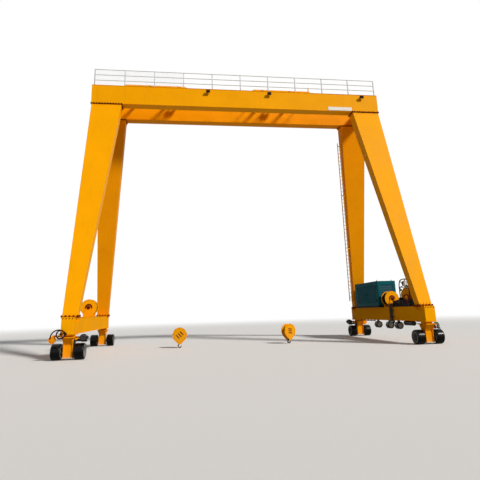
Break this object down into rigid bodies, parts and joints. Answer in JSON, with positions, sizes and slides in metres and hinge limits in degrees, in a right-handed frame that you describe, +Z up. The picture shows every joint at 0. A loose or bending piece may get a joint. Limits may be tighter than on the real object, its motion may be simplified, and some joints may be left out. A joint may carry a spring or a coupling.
{
  "type": "rubber tyred gantry crane",
  "caption": "Rubber tyred gantry crane with box girders on tapered legs, steered twin-tyred bogies, trolleys on the girders and hook blocks under them",
  "frame": {"origin": "on the ground, midway between the four corner bogies", "axes": "+X to the right along the span, +Y to the rear along the direction of travel, +Z up"},
  "size_m": [21.53, 11.28, 18.631],
  "materials": {
    "crane_paint": "gloss",
    "canopy_paint": "satin",
    "black_paint": "satin",
    "red_paint": "satin",
    "rail_paint": "satin",
    "lamp_housing": "satin",
    "rim_paint": "satin",
    "rail_steel": "worn",
    "forged_steel": "satin",
    "engine_iron": "satin",
    "tyre_rubber": "matte",
    "buffer_rubber": "matte",
    "hose_rubber": "matte"
  },
  "bodies": {
    "gantry": {"end_ties": "crane_paint", "engine_block": "engine_iron", "floodlights": "lamp_housing", "genset_canopy": "canopy_paint", "genset_skid": "black_paint", "girder_front": "crane_paint", "girder_rear": "crane_paint", "guard_ring": "red_paint", "hand_wheel_cases": "crane_paint", "hand_wheels": "red_paint", "handrail_front": "rail_paint", "handrail_rear": "rail_paint", "hoses": "hose_rubber", "ladder": "rail_paint", "lamp_hoop": "black_paint", "leg_front_left": "crane_paint", "leg_front_right": "crane_paint", "leg_rear_left": "crane_paint", "leg_rear_right": "crane_paint", "power_pack": "black_paint", "rail_stops": "crane_paint", "sill_left": "crane_paint", "sill_right": "crane_paint", "trolley_rails": "rail_steel", "under_sill_tanks": "black_paint", "winch_frame_left": "crane_paint", "winch_frame_right": "crane_paint"},
    "bogie_front_left": {"knuckle_front_left": "crane_paint", "drive_front_left": "black_paint"},
    "wheels_front_left": {"hub_front_left": "rim_paint", "tyres_front_left": "tyre_rubber"},
    "bogie_front_right": {"knuckle_front_right": "crane_paint"},
    "wheels_front_right": {"hub_front_right": "rim_paint", "tyres_front_right": "tyre_rubber"},
    "bogie_rear_left": {"knuckle_rear_left": "crane_paint"},
    "wheels_rear_left": {"hub_rear_left": "rim_paint", "tyres_rear_left": "tyre_rubber"},
    "bogie_rear_right": {"knuckle_rear_right": "crane_paint", "drive_rear_right": "black_paint"},
    "wheels_rear_right": {"hub_rear_right": "rim_paint", "tyres_rear_right": "tyre_rubber"},
    "trolley_left": {"trolley_left": "crane_paint", "trolley_buffers_left": "buffer_rubber"},
    "trolley_axle_left_a": {"trolley_axle_left_a": "rail_steel"},
    "trolley_axle_left_b": {"trolley_axle_left_b": "rail_steel"},
    "hook_block_left": {"hook_block_left": "crane_paint"},
    "hook_left": {"hook_left": "forged_steel"},
    "trolley_right": {"trolley_right": "crane_paint", "trolley_buffers_right": "buffer_rubber"},
    "trolley_axle_right_a": {"trolley_axle_right_a": "rail_steel"},
    "trolley_axle_right_b": {"trolley_axle_right_b": "rail_steel"},
    "hook_block_right": {"hook_block_right": "crane_paint"},
    "hook_right": {"hook_right": "forged_steel"},
    "drum_left": {"drum_left": "crane_paint"},
    "drum_right": {"drum_right": "crane_paint"},
    "door_front": {"genset_door_front": "canopy_paint"},
    "door_rear": {"genset_door_rear": "canopy_paint"}
  },
  "joints": [
    {"name": "steer_front_left", "type": "hinge", "parent": "gantry", "child": "bogie_front_left", "pos_m": [-9.9, -4.9, 1.1917], "axis": [0, 0, 1], "range_deg": [0, 90]},
    {"name": "roll_front_left", "type": "hinge", "parent": "bogie_front_left", "child": "wheels_front_left", "pos_m": [-9.9, -4.9, 0.41], "axis": [1, 0, 0], "continuous": true},
    {"name": "steer_front_right", "type": "hinge", "parent": "gantry", "child": "bogie_front_right", "pos_m": [9.9, -4.9, 1.1917], "axis": [0, 0, 1], "range_deg": [0, 90]},
    {"name": "roll_front_right", "type": "hinge", "parent": "bogie_front_right", "child": "wheels_front_right", "pos_m": [9.9, -4.9, 0.41], "axis": [1, 0, 0], "continuous": true},
    {"name": "steer_rear_left", "type": "hinge", "parent": "gantry", "child": "bogie_rear_left", "pos_m": [-9.9, 4.9, 1.1917], "axis": [0, 0, 1], "range_deg": [0, 90]},
    {"name": "roll_rear_left", "type": "hinge", "parent": "bogie_rear_left", "child": "wheels_rear_left", "pos_m": [-9.9, 4.9, 0.41], "axis": [1, 0, 0], "continuous": true},
    {"name": "steer_rear_right", "type": "hinge", "parent": "gantry", "child": "bogie_rear_right", "pos_m": [9.9, 4.9, 1.1917], "axis": [0, 0, 1], "range_deg": [0, 90]},
    {"name": "roll_rear_right", "type": "hinge", "parent": "bogie_rear_right", "child": "wheels_rear_right", "pos_m": [9.9, 4.9, 0.41], "axis": [1, 0, 0], "continuous": true},
    {"name": "travel_left", "type": "slide", "parent": "gantry", "child": "trolley_left", "axis": [1, 0, 0], "range_m": [-1.85, 3.75]},
    {"name": "trolley_roll_left_a", "type": "hinge", "parent": "trolley_left", "child": "trolley_axle_left_a", "pos_m": [-7.85, 0, 17.6083], "axis": [0, 1, 0], "continuous": true},
    {"name": "trolley_roll_left_b", "type": "hinge", "parent": "trolley_left", "child": "trolley_axle_left_b", "pos_m": [-4.01, 0, 17.6083], "axis": [0, 1, 0], "continuous": true},
    {"name": "hoist_left", "type": "slide", "parent": "trolley_left", "child": "hook_block_left", "axis": [0, 0, 1], "range_m": [0, 14]},
    {"name": "hook_swivel_left", "type": "hinge", "parent": "hook_block_left", "child": "hook_left", "pos_m": [-4.27, 0, 0.32], "axis": [0, 0, 1], "continuous": true},
    {"name": "travel_right", "type": "slide", "parent": "gantry", "child": "trolley_right", "axis": [1, 0, 0], "range_m": [-0.85, 4.69]},
    {"name": "trolley_roll_right_a", "type": "hinge", "parent": "trolley_right", "child": "trolley_axle_right_a", "pos_m": [1.17, 0, 17.6083], "axis": [0, 1, 0], "continuous": true},
    {"name": "trolley_roll_right_b", "type": "hinge", "parent": "trolley_right", "child": "trolley_axle_right_b", "pos_m": [5.01, 0, 17.6083], "axis": [0, 1, 0], "continuous": true},
    {"name": "hoist_right", "type": "slide", "parent": "trolley_right", "child": "hook_block_right", "axis": [0, 0, 1], "range_m": [0, 14]},
    {"name": "hook_swivel_right", "type": "hinge", "parent": "hook_block_right", "child": "hook_right", "pos_m": [2.9, 0, 0.32], "axis": [0, 0, 1], "continuous": true},
    {"name": "winch_left", "type": "hinge", "parent": "gantry", "child": "drum_left", "pos_m": [-9.9, -0.19, 2.681], "axis": [0, 1, 0], "continuous": true},
    {"name": "winch_right", "type": "hinge", "parent": "gantry", "child": "drum_right", "pos_m": [9.9, -0.78, 2.681], "axis": [0, 1, 0], "continuous": true},
    {"name": "open_front", "type": "hinge", "parent": "gantry", "child": "door_front", "pos_m": [9.315, 0.104, 3.07], "axis": [0, 0, 1], "range_deg": [0, 110]},
    {"name": "open_rear", "type": "hinge", "parent": "gantry", "child": "door_rear", "pos_m": [9.315, 3.256, 3.07], "axis": [0, 0, -1], "range_deg": [0, 110]}
  ]
}
